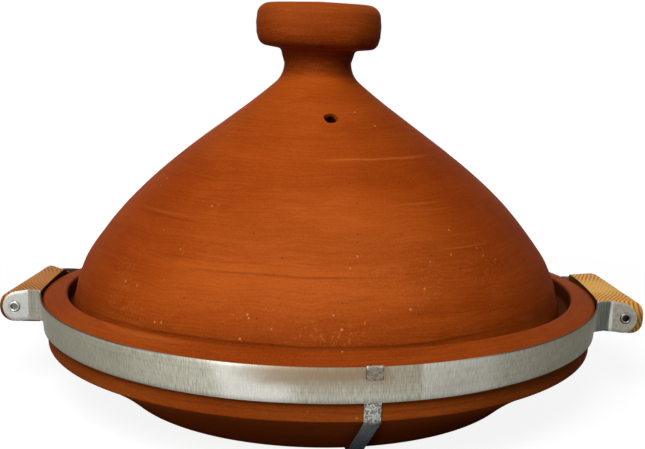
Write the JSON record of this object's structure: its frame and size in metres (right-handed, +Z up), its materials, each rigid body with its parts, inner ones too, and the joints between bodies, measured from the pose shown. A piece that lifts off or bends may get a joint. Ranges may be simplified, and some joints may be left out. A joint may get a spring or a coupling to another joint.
{
  "type": "covered casserole dish",
  "caption": "Shallow clay dish with a tall conical clay lid, knob and steam vent, carried in a riveted steel band with wooden grips.",
  "frame": {"origin": "on the surface that the dish stands on, under the middle of the foot", "axes": "+Z up along the axis of dish and lid, +X through the two grips, the pictured front faces -Y"},
  "size_m": [0.4172, 0.3702, 0.2543],
  "materials": {
    "dish_clay": "unglazed fired clay with fine throwing rings",
    "lid_clay": "unglazed fired clay, slightly polished, with fine throwing rings and pale specks",
    "steel_band": "galvanised strip, finely brushed across its width",
    "zinc_strap": "dull zinc-coated strip with a fine spangle",
    "grip_wood": "plain sanded softwood with fine grain along the grip",
    "rivet_metal": "bright set rivet"
  },
  "bodies": {
    "carrier": {"dish": "dish_clay", "front_band": "steel_band", "rear_band": "steel_band", "base_strap": "zinc_strap", "left_grip": "grip_wood", "right_grip": "grip_wood", "left_front_rivet": "rivet_metal", "left_rear_rivet": "rivet_metal", "right_front_rivet": "rivet_metal", "right_rear_rivet": "rivet_metal"},
    "lid": {"lid": "lid_clay"}
  },
  "joints": [
    {"name": "lid_lift", "type": "slide", "parent": "carrier", "child": "lid", "axis": [0, 0, 1], "range_m": [0, 0.25]}
  ]
}
